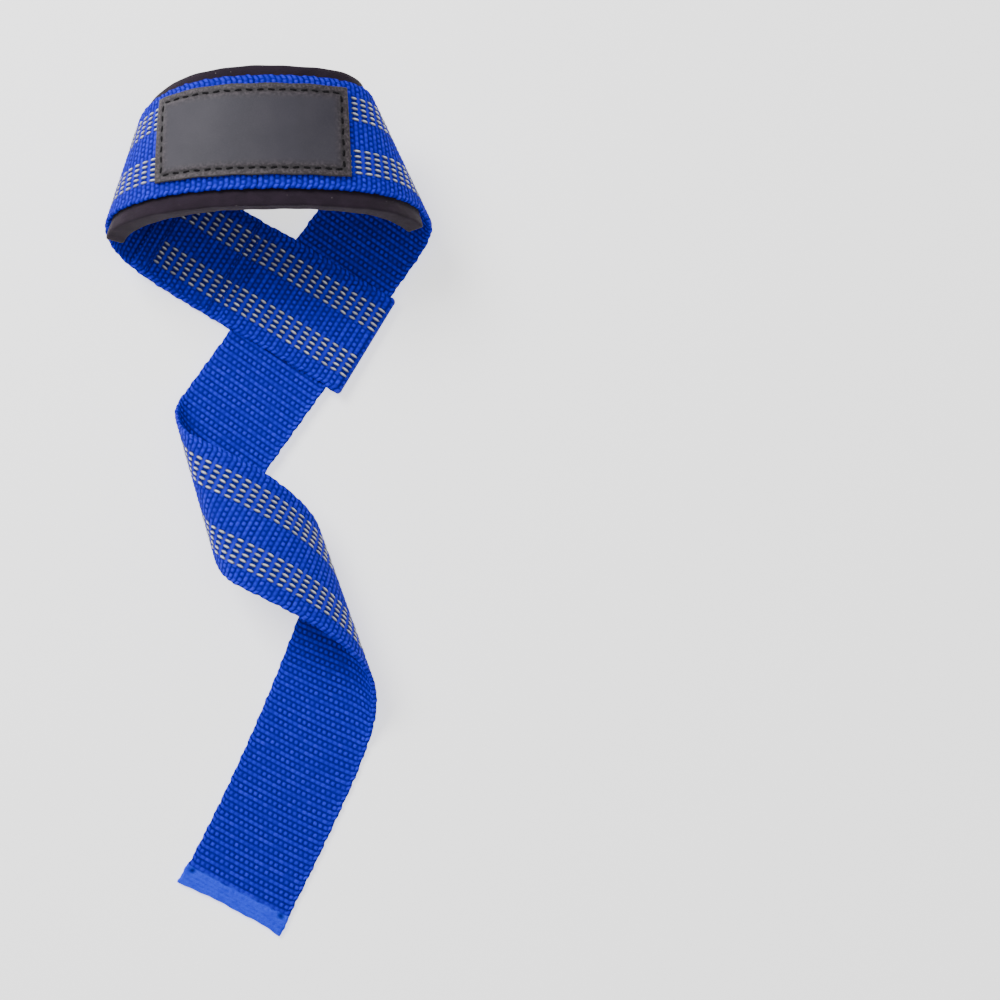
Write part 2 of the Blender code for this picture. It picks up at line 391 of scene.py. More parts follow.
class Ribbon:
    """Creases of the ribbon, each a straight line across it in space."""

    def __init__(self):
        self.along = []
        self.middle = []
        self.across = []
        self.normal = []
        self.lean = []
        self.place = np.array((0.0, 0.0, WEB_THICK / 2))
        heading = math.radians(EYE_HEADING)
        self.forward = np.array((math.cos(heading), math.sin(heading), 0.0))
        self.up = np.array((0.0, 0.0, 1.0))
        self.length = 0.0

    def side(self):
        return np.cross(self.up, self.forward)

    def mark(self, skew, bend):
        """Put a crease here, leaning by skew, and bend the ribbon by bend about it."""
        lean = math.tan(math.radians(skew))
        line = self.side() + self.forward * lean
        axis = line / np.linalg.norm(line)
        half = turn_about(self.up, axis, -bend / 2)
        self.along.append(self.length)
        self.middle.append(self.place)
        self.across.append(line)
        self.normal.append(half)
        self.lean.append(lean)
        self.up = turn_about(self.up, axis, -bend)
        self.forward = turn_about(self.forward, axis, -bend)

    def advance(self, distance, bow=0.0):
        self.place = self.place + self.forward * distance
        self.length += distance
        self.forward = turn_about(self.forward, self.up, bow)

    def stretch(self, rows, length, knobs):
        """Bend along a table. Three knobs scale its turns and two shift its skews."""
        steps = round(length / BEND_STEP)
        for i in range(1, steps + 1):
            share = i / steps
            first = max(0.0, 1 - 2 * share)
            last = max(0.0, 2 * share - 1)
            turn = table_value(rows, share, "turn")
            turn *= first * knobs[0] + (1 - first - last) * knobs[1] + last * knobs[2]
            skew = table_value(rows, share, "skew")
            skew += first * knobs[3] + last * knobs[4]
            self.advance(length / steps)
            self.mark(skew, math.radians(turn) / steps)

    def finish(self):
        """Straight creases are added beyond both ends, so that every spot has neighbours."""
        for share in (0.9, 0.8):
            self.advance(BEND_STEP)
            self.mark(LAST_SKEW * share, 0.0)
        for name in ("along", "middle", "across", "normal", "lean"):
            values = getattr(self, name)
            setattr(self, name, np.array(values[:1] + values))
        self.along[0] = -LEAD_IN
        self.middle[0] -= (self.middle[2] - self.middle[1]) * (LEAD_IN / self.along[2])

    def points(self, along, across, lift):
        """Places in space of many spots on the cloth, on a smooth curve over the creases."""
        along, across, lift = np.broadcast_arrays(along, across, lift)
        low = np.ones(along.shape, int)
        high = np.full(along.shape, len(self.along) - 2)
        while (high - low).max() > 1:
            middle = (low + high) // 2
            before = self.along[middle] + across * self.lean[middle] <= along
            low = np.where(before, middle, low)
            high = np.where(before, high, middle)
        knots = [low - 1, low, low + 1, np.minimum(low + 2, len(self.along) - 1)]
        reach = [self.along[k] + across * self.lean[k] for k in knots]
        place = [
            self.middle[k] + self.across[k] * across[..., None] + self.normal[k] * lift[..., None]
            for k in knots
        ]
        gap = [(reach[n + 1] - reach[n])[..., None] for n in range(3)]
        slope = [(place[n + 1] - place[n]) / np.maximum(gap[n], 1e-6) for n in range(3)]
        start = (slope[0] * gap[1] + slope[1] * gap[0]) / (gap[0] + gap[1])
        end = (slope[1] * gap[2] + slope[2] * gap[1]) / (gap[1] + gap[2])
        t = ((along - reach[1])[..., None]) / gap[1]
        return (
            place[1] * (2 * t**3 - 3 * t**2 + 1)
            + start * gap[1] * (t**3 - 2 * t**2 + t)
            + place[2] * (3 * t**2 - 2 * t**3)
            + end * gap[1] * (t**3 - t**2)
        )


def solve(misses, knobs, free):
    """Adjust the free knobs until every miss is nothing."""
    knobs = np.array(knobs, float)
    for _ in range(MOST_ROUNDS):
        base = np.array(misses(knobs))
        if np.abs(base).max() < CLOSE_ENOUGH:
            break
        slope = np.empty((len(base), len(free)))
        for column, k in enumerate(free):
            nudge = TURN_NUDGE if k < TURN_KNOBS else SKEW_NUDGE
            other = knobs.copy()
            other[k] += nudge
            slope[:, column] = (np.array(misses(other)) - base) / nudge
        change = np.linalg.lstsq(slope, -base, rcond=None)[0]
        limits = [TURN_LIMIT if k < TURN_KNOBS else SKEW_LIMIT for k in free]
        biggest = np.abs(change / limits).max()
        knobs[list(free)] += change / max(1.0, biggest)
    return knobs


def start_of_ribbon():
    """The flat stretch from the eye's fold to the arch's first foot."""
    ribbon = Ribbon()
    ribbon.mark(0.0, 0.0)
    ribbon.advance(FLAT_LENGTH * FLAT_CREASE)
    ribbon.mark(0.0, 0.0)
    ribbon.advance(FLAT_LENGTH * (1 - FLAT_CREASE))
    ribbon.mark(ARCH[0].skew, 0.0)
    return ribbon


def eye_middle():
    """Where the middle of the free end passes through the eye."""
    heading = math.radians(EYE_HEADING)
    reach = HALF + EYE_SNUG
    return np.array((math.cos(heading) * reach, math.sin(heading) * reach, 0.0))


def off_heading(ribbon, heading):
    """How far the ribbon is off a heading, as a sine."""
    aim = math.radians(heading)
    return ribbon.forward[0] * math.sin(aim) - ribbon.forward[1] * math.cos(aim)


def arch_misses(knobs):
    """The arch ends flat, one layer up, aimed through the eye's middle at its heading."""
    ribbon = start_of_ribbon()
    ribbon.stretch(ARCH, ARCH_LENGTH, knobs)
    off = (ribbon.place - eye_middle()) @ ribbon.side() * PLACE_WEIGHT
    height = (ribbon.place[2] - WEB_THICK / 2 - LIFT) * PLACE_WEIGHT
    return (ribbon.up[0], ribbon.up[1], height, off, off_heading(ribbon, PASS_HEADING))


def with_arch(knobs):
    """The ribbon up to the roll's start, past the arch and through the eye."""
    ribbon = start_of_ribbon()
    ribbon.stretch(ARCH, ARCH_LENGTH, knobs)
    ribbon.advance(PASS_LENGTH * PASS_CREASE)
    ribbon.mark(0.0, 0.0)
    ribbon.advance(PASS_LENGTH * (1 - PASS_CREASE))
    ribbon.mark(ROLL[0].skew, 0.0)
    return ribbon


def roll_misses(knobs, arch_knobs):
    """The roll ends flat on the surface."""
    ribbon = with_arch(arch_knobs)
    ribbon.stretch(ROLL, ROLL_LENGTH, knobs)
    height = (ribbon.place[2] - WEB_THICK / 2) * PLACE_WEIGHT
    return (ribbon.up[0], ribbon.up[1], height, off_heading(ribbon, LAST_HEADING))


def whole_ribbon():
    """All creases, from the eye's fold to the sealed end."""
    arch_knobs = solve(arch_misses, (1, 1, 1, 0, 0), (0, 1, 2, 3, 4))
    roll_knobs = solve(lambda k: roll_misses(k, arch_knobs), (1, 1, 1, 0, 0), (0, 2, 3, 4))
    ribbon = with_arch(arch_knobs)
    ribbon.stretch(ROLL, ROLL_LENGTH, roll_knobs)
    bow = math.radians(LAST_BOW) / LAST_STEPS
    for i in range(1, LAST_STEPS + 1):
        ribbon.advance(LAST_LENGTH / LAST_STEPS, bow)
        share = i / LAST_STEPS
        ribbon.mark(ROLL[-1].skew * (1 - share) + LAST_SKEW * share, 0.0)
    ribbon.finish()
    return ribbon


class Path:
    """The webbing's middle from its sewn end, round the eye's fold, to its sealed end.
    travel: distance along the cloth, nothing at the fold's end. out: towards the striped face."""

    def __init__(self):
        rows = []
        for share in np.linspace(0, 1, EYE_ROWS)[:-1]:
            rows.append((SEWN_END - SEAM_LENGTH * share, LIFT, 0.0, 1.0))
        for share in np.linspace(0, 1, CLIMB_ROWS):
            rise = smooth(table_value(CLIMB, share, "rise"))
            tip = CLIMB_TIP * math.sin(math.pi * share)
            rows.append((EYE_LENGTH - CLIMB_LENGTH * share, LIFT * (1 + rise),
                         math.sin(tip), math.cos(tip)))
        for share in np.linspace(0, 1, EYE_ROWS)[1:-1]:
            rows.append(((EYE_LENGTH - CLIMB_LENGTH) * (1 - share), 2 * LIFT, 0.0, 1.0))
        for turn in np.linspace(0, math.pi, FOLD_ROWS):
            rows.append((-LIFT * math.sin(turn), LIFT + LIFT * math.cos(turn),
                         -math.sin(turn), math.cos(turn)))
        fold_end = len(rows) - 1
        rows.append((STRAP_LENGTH, 0.0, 0.0, -1.0))
        rows = np.array(rows)
        steps = np.hypot(np.diff(rows[:, 0]), np.diff(rows[:, 1]))
        travel = np.concatenate(([0.0], np.cumsum(steps)))
        self.travel = travel - travel[fold_end]
        self.rows = rows

    def at(self, travel):
        along, lift, out_along, out_lift = (
            np.interp(travel, self.travel, self.rows[:, k]) for k in range(4)
        )
        size = np.hypot(out_along, out_lift)
        return along, lift, out_along / size, out_lift / size


ribbon = whole_ribbon()
path = Path()


def rib_count(travel, across):
    """Ribs from the first float column. They lean near the sealed end, and slant at the
    selvedges like a twisted rope."""
    lean = np.interp(travel, [STRAP_LENGTH - row.from_end for row in LEANS],
                     [row.slope for row in LEANS])
    twist = np.maximum(np.abs(across) - (HALF - ROPE_WIDTH), 0) * ROPE_SLANT
    return (travel - lean * across + twist - FLOAT_START) / RIB_PITCH


def float_columns():
    """Numbers of the float columns: none on the fold, at the ends or under the patch."""
    start = path.travel[0] + FLOATS_FROM_SEWN
    end = STRAP_LENGTH - SEALED_LENGTH - FLOATS_FROM_SEALED
    numbers = np.arange(math.ceil((start - FLOAT_START) / (2 * RIB_PITCH)),
                        math.floor((end - FLOAT_START) / (2 * RIB_PITCH)) + 1)
    centre = FLOAT_START + numbers * 2 * RIB_PITCH
    clear = np.abs(centre - FOLD_MIDDLE) > FOLD_HALF + FLOATS_FROM_FOLD
    covered = np.abs(centre - PATCH_MIDDLE) < PATCH_LENGTH / 2 - FLOATS_UNDER_PATCH
    return numbers[clear & ~covered]


def rib_relief(travel, across, striped):
    """How far the woven face lies below its highest point, and where floats cross it."""
    q = rib_count(travel, across)
    rib = np.abs(np.cos(math.pi * q))
    odd = 0.5 - 0.5 * np.cos(math.pi * q)
    d = across / DOT_PITCH
    dots = np.cos(math.pi * d) ** 2
    between = np.sin(math.pi * d) ** 2
    zone = np.zeros_like(across)
    for place in STRIPE_PLACES:
        zone = np.maximum(zone, fade(STRIPE_HALF - np.abs(across - place), STRIPE_FADE))
    number = np.round((travel - FLOAT_START) / (2 * RIB_PITCH))
    zone = zone * striped * np.isin(number, float_columns())
    odd = odd * (1 - fade(np.abs(across) - (HALF - ROPE_WIDTH), ROPE_FADE))
    depth = (1 - rib) * RIB_DEPTH
    depth = depth + rib * odd * (1 - dots) * DOT_DEPTH * (1 - STRIPE_FLAT * zone)
    depth = depth + rib * (1 - odd) * (1 - between) * DOT_DEPTH * SOLID_SHARE
    bed = np.clip(np.cos(math.pi * q) ** 2 * BED_GAIN, 0, 1)
    bed = RIB_DEPTH * (BED_LEAST + (1 - BED_LEAST) * bed)
    return depth * (1 - zone) + zone * bed, zone


def bare_share(travel):
    """1 where the weave is melted flat or pressed: at both ends, and on the eye's fold."""
    ends = fade(travel - (STRAP_LENGTH - SEALED_LENGTH - SEALED_START), SEALED_FADE)
    sewn = fade(path.travel[0] + SEWN_LENGTH - travel, SEWN_FADE)
    fold = fade(FOLD_HALF - np.abs(travel - FOLD_MIDDLE), FOLD_FADE)
    return np.maximum(ends, SEWN_FLAT * sewn), fold


def link(name, mesh, material, replaced=()):
    """Put a mesh in the scene as a piece that rides on the strap."""
    mesh.materials.append(material)
    piece = bpy.data.objects.new(name, mesh)
    bpy.context.scene.collection.objects.link(piece)
    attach(piece, "root")
    if replaced:
        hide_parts(*replaced)
    return piece


def mesh_of(name, places, quads, values=(), flat=0):
    """A smooth mesh from places and quads, with named values on its points. The last flat
    quads stay flat."""
    mesh = bpy.data.meshes.new(name)
    places = np.asarray(places, np.float32)
    quads = np.asarray(quads, np.int32)
    corners = quads.shape[1]
    mesh.vertices.add(len(places))
    mesh.vertices.foreach_set("co", places.ravel())
    mesh.loops.add(quads.size)
    mesh.loops.foreach_set("vertex_index", quads.ravel())
    mesh.polygons.add(len(quads))
    mesh.polygons.foreach_set("loop_start", np.arange(0, quads.size, corners, dtype=np.int32))
    mesh.polygons.foreach_set("use_smooth", np.arange(len(quads)) < len(quads) - flat)
    for label, data in values:
        data = np.asarray(data, np.float32)
        kind = "FLOAT" if data.ndim == 1 else "FLOAT_VECTOR"
        field = "value" if data.ndim == 1 else "vector"
        layer = mesh.attributes.new(label, kind, "POINT")
        layer.data.foreach_set(field, data.ravel())
    mesh.update(calc_edges=True)
    mesh.validate()
    return mesh


def grid_quads(rows, columns, closed):
    """Corners of the quads between rows of columns points. closed joins each row's ends."""
    r = np.arange(rows - 1)[:, None]
    c = np.arange(columns if closed else columns - 1)[None, :]
    n = (c + 1) % columns
    quads = np.stack(
        np.broadcast_arrays(r * columns + c, r * columns + n, (r + 1) * columns + n,
                            (r + 1) * columns + c), axis=-1)
    return quads.reshape(-1, 4)


def end_quads(base, count):
    """Quads that close the end of a band: two faces of count + 1 points, and its edges."""
    columns = 2 * (count + 1 + EDGE_POINTS)
    under = count + 1 + EDGE_POINTS
    quads = [(j, j + 1, under + count - j - 1, under + count - j) for j in range(count)]
    for c in (count, under + count):
        for k in range(RIM_POINTS):
            quads.append((c + k, c + k + 1, c + EDGE_POINTS - k, c + EDGE_POINTS + 1 - k))
    return np.array(quads) % columns + base


def band_quads(rows, count):
    """Quads of a closed band, its faces count + 1 points wide. The ends come last, and
    their number is given too."""
    columns = 2 * (count + 1 + EDGE_POINTS)
    ends = np.concatenate((end_quads(0, count)[:, ::-1],
                           end_quads((rows - 1) * columns, count)))
    return np.concatenate((grid_quads(rows, columns, True), ends)), len(ends)


def many_quads(shape, count):
    """Quads of many open grids of one shape, one after the other."""
    offsets = shape[0] * shape[1] * np.arange(count)[:, None, None]
    return (grid_quads(*shape, False)[None] + offsets).reshape(-1, 4)


def place_on_web(travel, across, out):
    """Points on or off the webbing. out: distance from its middle towards the striped face."""
    travel, across, out = np.broadcast_arrays(travel, across, out)
    along, lift, out_along, out_lift = path.at(travel)
    return ribbon.points(along + out_along * out, across, lift + out_lift * out) - SHIFT


def web_piece(name, start, end):
    """One stretch of the woven webbing between two distances, as a ribbed closed band."""
    step = RIB_PITCH / ROWS_PER_RIB
    first = math.ceil((start - FLOAT_START) / step - 1e-6)
    last = math.floor((end - FLOAT_START) / step + 1e-6)
    travel = FLOAT_START + step * np.arange(first, last + 1)
    sealed = end >= STRAP_LENGTH
    if sealed:
        travel = np.append(travel[travel < STRAP_LENGTH - step / 2], STRAP_LENGTH)
    if start <= path.travel[0]:
        travel = np.insert(travel[travel > path.travel[0] + step / 2], 0, path.travel[0])
    thick_half = WEB_THICK / 2
    flat_half = HALF - thick_half
    count = round(2 * flat_half / DOT_PITCH * COLUMNS_PER_DOT)
    face = np.linspace(-flat_half, flat_half, count + 1)
    ones = np.ones(count + 1)
    round_edge = math.pi * (np.arange(EDGE_POINTS) + 0.5) / EDGE_POINTS

    # Around the band: the striped face, its far edge, the plain face, its near edge
    reach = flat_half + thick_half * np.sin(round_edge)
    across = np.concatenate((face, reach, face[::-1], -reach))
    side = np.concatenate((ones, np.cos(round_edge), -ones, -np.cos(round_edge)))
    out = thick_half * side
    on_edge = np.abs(across) > flat_half + 1e-7

    t, w = np.broadcast_arrays(travel[:, None], across[None, :])
    depth, zone = rib_relief(t, w, (side > 0.99).astype(float)[None, :])
    melted, pressed = bare_share(t)
    depth = depth * (1 - MELT_FLAT * melted) * (1 - FOLD_FLAT * pressed)
    q = rib_count(t, w)
    scallop = (0.5 + 0.5 * np.cos(math.pi * q)) * EDGE_DEPTH * (1 - MELT_EDGE * melted)
    uneven = waves(SELVEDGE_WAVES, t, np.sign(w))
    thin = 1 - MELT_THIN * fade(t - (STRAP_LENGTH - SEALED_LENGTH), SEALED_LENGTH) ** 2
    edge = np.sign(w) * flat_half
    w_now = np.where(on_edge, edge + (w - edge) * (1 - scallop / thick_half), w)
    w_now = w_now * (1 + uneven / HALF) * (1 + MELT_WIDE * melted)
    o_now = (np.sign(out) * (np.abs(out) - np.where(on_edge, 0, depth))) * thin
    o_now = np.where(on_edge, o_now * (1 - EDGE_FLAT * scallop / EDGE_DEPTH), o_now)
    dents = 0
    for corner in (-1, 1):
        near = np.hypot((t - (STRAP_LENGTH - DENT_FROM_END)) / DENT_LONG,
                        (w - corner * DENT_ACROSS) / DENT_WIDE)
        dents = dents + DENT_SHARE * np.exp(-near ** 2)
    o_now = o_now - np.sign(out) * np.where(on_edge, 0, DENT_DEPTH) * dents
    t_now = t
    if sealed:
        bow = CORNER_PROUD * np.abs(w / HALF) ** 3 - END_BOW
        ragged = RAGGED_SHARE * waves(RAGGED_WAVES, w)
        t_now = t + fade(t - STRAP_LENGTH + BOW_LENGTH, BOW_LENGTH) * (ragged + bow)
    places = place_on_web(t_now, w_now, o_now)
    pattern = np.stack((q, w / DOT_PITCH, side[None, :] + 0 * t), axis=-1)
    bare = np.stack((melted, pressed, np.clip(dents, 0, 1)), axis=-1)
    values = (("weave", pattern.reshape(-1, 3)), ("bare", bare.reshape(-1, 3)),
              ("bed", zone.ravel()))
    quads, flat = band_quads(len(travel), count)
    return mesh_of(name, places.reshape(-1, 3), quads, values, flat)


def float_mesh(name):
    """All grey floats of both stripes, each a low rounded bump over one rib."""
    a, b = np.meshgrid(FLOAT_ALONG, FLOAT_OVER, indexing="ij")
    ends = np.sqrt(np.clip(1 - a ** 2, 0, 1))
    dome = np.sqrt(np.clip(1 - b ** 2, 0, 1))
    width = FLOAT_WIDTH / 2 * (FLOAT_TIP + (1 - FLOAT_TIP) * ends ** 0.7)
    rise = FLOAT_RISE * ends ** 0.8 * dome
    places, shades = [], []
    rng = np.random.default_rng(FLOAT_SEED)
    for n in float_columns():
        centre = FLOAT_START + n * 2 * RIB_PITCH
        for place in STRIPE_PLACES:
            for m in range(FLOATS_ACROSS):
                w = place + (m - (FLOATS_ACROSS - 1) / 2) * DOT_PITCH
                jitter = rng.normal(0, 1, 4)
                reach = a * FLOAT_LENGTH / 2
                t = centre + jitter[0] * STRAY_ALONG + reach * (1 + STRAY_LENGTH * jitter[1])
                across = w + b * width + reach * (FLOAT_TURN + STRAY_TURN * jitter[2])
                out = (WEB_THICK / 2 - FLOAT_RISE + FLOAT_PROUD
                       + rise * (1 + STRAY_RISE * jitter[3]))
                places.append(place_on_web(t, across, out))
                shades.append(np.clip(0.5 + STRAY_SHADE * jitter[3], 0, 1))
    key = np.stack((a, b, ends * dome), -1).reshape(-1, 3)
    values = (("shade", np.repeat(shades, a.size)), ("spot", np.tile(key, (len(places), 1))))
    return mesh_of(name, np.reshape(places, (-1, 3)), many_quads(a.shape, len(places)), values)


def slab(name, start, length, low, high, inner, outer, rows, columns, radius, shape):
    """A band laid on the webbing between two out distances, with rounded rims.
    shape(travel, across, out) gives back the three, changed a little."""
    turns = np.radians(np.linspace(0, 90, RIM_POINTS + 1)[1:])
    drop = radius * (1 - np.cos(turns))
    beyond = radius * np.sin(turns) - radius
    beyond = np.concatenate((beyond, beyond[::-1]))
    face = np.linspace(low + radius, high - radius, columns)
    edge = np.concatenate((outer - drop, inner + drop[::-1]))
    w = np.concatenate((face, high + beyond, face[::-1], low - beyond))
    o = np.concatenate((np.full(columns, outer), edge, np.full(columns, inner), edge[::-1]))

    # The ends are drawn in over a short rounded rim
    rim = np.radians(np.linspace(90, 0, RIM_POINTS + 1)[:-1])
    rim_t = start + radius * (1 - np.sin(rim))
    rim_inset = radius * (1 - np.cos(rim))
    inner_t = np.linspace(start, start + length, rows)
    inner_t = inner_t[(inner_t > start + radius) & (inner_t < start + length - radius)]
    t = np.concatenate((rim_t, inner_t, 2 * start + length - rim_t[::-1]))[:, None]
    inset = np.concatenate((rim_inset, 0 * inner_t, rim_inset[::-1]))[:, None]
    middle_w = (low + high) / 2
    middle_o = (inner + outer) / 2
    w_now = middle_w + (w - middle_w) * (1 - inset / ((high - low) / 2))
    o_now = middle_o + (o - middle_o) * (1 - inset / abs((outer - inner) / 2))
    spots = np.stack(shape(t + 0 * w_now, w_now, o_now), axis=-1).reshape(-1, 3)
    places = place_on_web(*spots.T)
    quads, _ = band_quads(len(t), columns - 1)
    return mesh_of(name, places, quads, (("cloth", spots),))


def stitch_mesh(name, runs, length, width, rise):
    """Short threads, each (travel, across, direction in degrees, out), as bumps."""
    a, b = np.meshgrid(THREAD_ALONG, np.radians(THREAD_OVER), indexing="ij")
    ends = np.sqrt(np.clip(1 - a ** 2, 0, 1)) ** 0.6
    x = a * length / 2
    y = np.sin(b) * width / 2 * (THREAD_TIP + (1 - THREAD_TIP) * ends)
    z = rise * (np.cos(b) * ends - THREAD_SUNK)
    places = []
    for travel, across, turn, out in runs:
        c, s = math.cos(math.radians(turn)), math.sin(math.radians(turn))
        places.append(place_on_web(travel + x * c - y * s, across + x * s + y * c, out + z))
    key = np.stack((a, np.sin(b), ends), -1).reshape(-1, 3)
    values = (("spot", np.tile(key, (len(runs), 1))),)
    return mesh_of(name, np.reshape(places, (-1, 3)), many_quads(a.shape, len(runs)), values)


class Graph:
    """A material and its nodes."""

    def __init__(self, name):
        self.material = bpy.data.materials.new(name)
        self.material.use_nodes = True
        self.tree = self.material.node_tree
        self.shader = self.tree.nodes["Principled BSDF"]

    def put(self, socket, value):
        if isinstance(value, bpy.types.NodeSocket):
            self.tree.links.new(value, socket)
        elif isinstance(value, tuple) and len(value) == 3 and socket.type == "RGBA":
            socket.default_value = (*value, 1.0)
        else:
            socket.default_value = value

    def math(self, operation, a, b=0.0):
        node = self.tree.nodes.new("ShaderNodeMath")
        node.operation = operation
        self.put(node.inputs[0], a)
        self.put(node.inputs[1], b)
        return node.outputs[0]

    def times(self, a, b):
        return self.math("MULTIPLY", a, b)

    def plus(self, a, b):
        return self.math("ADD", a, b)

    def rest(self, value):
        """What is missing from 1."""
        return self.math("SUBTRACT", 1.0, value)

    def ramp(self, value, low, high):
        """0 below low and 1 above high, smooth between."""
        node = self.tree.nodes.new("ShaderNodeMapRange")
        node.interpolation_type = "SMOOTHSTEP"
        self.put(node.inputs["Value"], value)
        self.put(node.inputs["From Min"], low)
        self.put(node.inputs["From Max"], high)
        return node.outputs["Result"]

    def mix(self, share, a, b):
        node = self.tree.nodes.new("ShaderNodeMix")
        node.data_type = "RGBA"
        colours = [x for x in node.inputs if x.type == "RGBA"]
        self.put(node.inputs[0], share)
        self.put(colours[0], a)
        self.put(colours[1], b)
        return [x for x in node.outputs if x.type == "RGBA"][0]

    def tint(self, colour, share, strength, other):
        """Turn a colour towards another one, by share times strength."""
        return self.mix(self.times(share, strength), colour, other)

    def parts(self, name):
        """The three numbers of a vector attribute."""
        read = self.tree.nodes.new("ShaderNodeAttribute")
        read.attribute_name = name
        split = self.tree.nodes.new("ShaderNodeSeparateXYZ")
        self.tree.links.new(read.outputs["Vector"], split.inputs[0])
        return split.outputs[0], split.outputs[1], split.outputs[2]

    def number(self, name):
        read = self.tree.nodes.new("ShaderNodeAttribute")
        read.attribute_name = name
        return read.outputs["Fac"]

    def vector(self, x, y, z):
        node = self.tree.nodes.new("ShaderNodeCombineXYZ")
        for socket, value in zip(node.inputs, (x, y, z)):
            self.put(socket, value)
        return node.outputs[0]

    def noise(self, place, scale, detail=2.0, rough=0.5):
        node = self.tree.nodes.new("ShaderNodeTexNoise")
        self.put(node.inputs["Vector"], place)
        node.inputs["Scale"].default_value = scale
        node.inputs["Detail"].default_value = detail
        node.inputs["Roughness"].default_value = rough
        return node.outputs["Fac"]

    def cells(self, place, scale):
        node = self.tree.nodes.new("ShaderNodeTexVoronoi")
        self.put(node.inputs["Vector"], place)
        node.inputs["Scale"].default_value = scale
        return node.outputs["Distance"]

    def dice(self, place):
        """A random number for each whole-numbered place."""
        node = self.tree.nodes.new("ShaderNodeTexWhiteNoise")
        self.put(node.inputs["Vector"], place)
        return node.outputs["Value"]

    def wave(self, value, turns):
        """From 0 to 1 and back, turns times for each unit, 1 at zero."""
        angle = self.times(value, 2 * math.pi * turns)
        return self.plus(self.times(self.math("COSINE", angle), 0.5), 0.5)

    def arch(self, value):
        """From 0 to 1 and back once for each unit, 1 at zero, with narrow low places."""
        return self.math("ABSOLUTE", self.math("COSINE", self.times(value, math.pi)))

    def bump(self, height, distance, strength=1.0):
        node = self.tree.nodes.new("ShaderNodeBump")
        self.put(node.inputs["Height"], height)
        node.inputs["Distance"].default_value = distance
        node.inputs["Strength"].default_value = strength
        self.tree.links.new(node.outputs[0], self.shader.inputs["Normal"])

    def finish(self, colour, roughness, specular=0.3, sheen=0.0, sheen_tint=(1.0, 1.0, 1.0)):
        self.put(self.shader.inputs["Base Color"], colour)
        self.put(self.shader.inputs["Roughness"], roughness)
        self.shader.inputs["Specular IOR Level"].default_value = specular
        self.shader.inputs["Sheen Weight"].default_value = sheen
        self.shader.inputs["Sheen Roughness"].default_value = 0.4
        self.put(self.shader.inputs["Sheen Tint"], sheen_tint)
        return self.material


def web_material():
    g = Graph("blue_webbing")
    q, d, side = g.parts("weave")
    melted, pressed, dents = g.parts("bare")
    zone = g.number("bed")
    across = g.math("ABSOLUTE", g.times(d, DOT_PITCH))
    rope = g.ramp(across, HALF - ROPE_WIDTH, HALF - ROPE_WIDTH + ROPE_FADE)
    even = g.wave(q, 0.5)
    odd = g.times(g.rest(even), g.rest(rope))
    dots = g.wave(d, 1.0)
    gap_odd = g.times(g.times(odd, g.rest(dots)), g.times(g.rest(zone), 0.85))
    gap_even = g.times(g.times(even, dots), 0.55)
    height = g.times(g.arch(q), g.rest(g.plus(gap_odd, gap_even)))
    height = g.times(height, g.rest(g.times(even, 0.10)))
    fibre = g.noise(g.vector(g.times(q, 1.3), g.times(d, 9.0), side), 1.6, 3.0)
    grain = g.noise(g.vector(q, d, side), 6.0, 3.0, 0.6)
    broad = g.noise(g.vector(g.times(q, 0.3), g.times(d, 0.4), side), 1.0)
    blotch = g.noise(g.vector(g.times(q, 0.8), g.times(d, 0.5), side), 1.3, 3.0)
    column = g.plus(d, g.times(even, 0.5))
    dice = g.dice(g.vector(g.math("ROUND", q), g.math("ROUND", column), side))

    # The weave: painted shade in its gaps, its ribs' own blue and a painted highlight on their
    # peaks, and no two dots quite the same
    lit = g.ramp(height, 0.16, 0.66)
    blue = g.mix(lit, WEB_GAP_SHADE, WEB_RIB)
    blue = g.tint(blue, g.ramp(height, 0.74, 1.0), 0.6, WEB_PEAK_HIGHLIGHT)
    blue = g.tint(blue, g.ramp(dice, 0.5, 1.0), 0.45, WEB_DIM)
    blue = g.tint(blue, g.times(g.ramp(dice, 0.45, 0.0), lit), 0.35, WEB_BRIGHT)
    blue = g.tint(blue, g.ramp(fibre, 0.35, 0.75), 0.3, WEB_FIBRE)
    blue = g.tint(blue, g.ramp(grain, 0.5, 0.8), 0.18, WEB_GRAIN)
    blue = g.tint(blue, g.ramp(broad, 0.4, 0.7), 0.2, WEB_SHADE)

    # The bed of the stripes, with painted shade between its floats, the eye's fold and the sealed
    # end
    blue = g.tint(blue, zone, 0.35, WEB_STRIPE)
    under = g.times(g.times(zone, g.rest(pressed)), g.ramp(even, 0.45, 0.7))
    blue = g.tint(blue, g.times(under, g.rest(melted)), 0.85, WEB_FLOAT_GAP_SHADE)
    patchy = g.ramp(grain, 0.35, 0.7)
    blue = g.tint(blue, pressed, 0.35, g.mix(patchy, FOLD_DARK, FOLD_LIGHT))
    seal = g.mix(patchy, SEAL_DARK, SEAL_LIGHT)
    seal = g.tint(seal, g.ramp(blotch, 0.45, 0.7), 0.5, SEAL_BLOTCH)
    ragged = g.plus(melted, g.times(g.math("SUBTRACT", blotch, 0.5), 0.9))
    blue = g.tint(blue, g.ramp(ragged, 0.3, 0.7), g.ramp(melted, 0.02, 0.3), seal)
    blue = g.mix(g.ramp(dents, 0.1, 0.9), blue, WEB_DENT)

    rough = g.mix(melted, (0.72, 0.72, 0.72), (0.6, 0.6, 0.6))
    threads = g.plus(g.times(fibre, 0.7), g.times(grain, 0.5))
    g.bump(g.plus(threads, g.times(height, 0.9)), 0.00016)
    return g.finish(blue, rough, 0.05, 0.05, WEB_SHEEN)


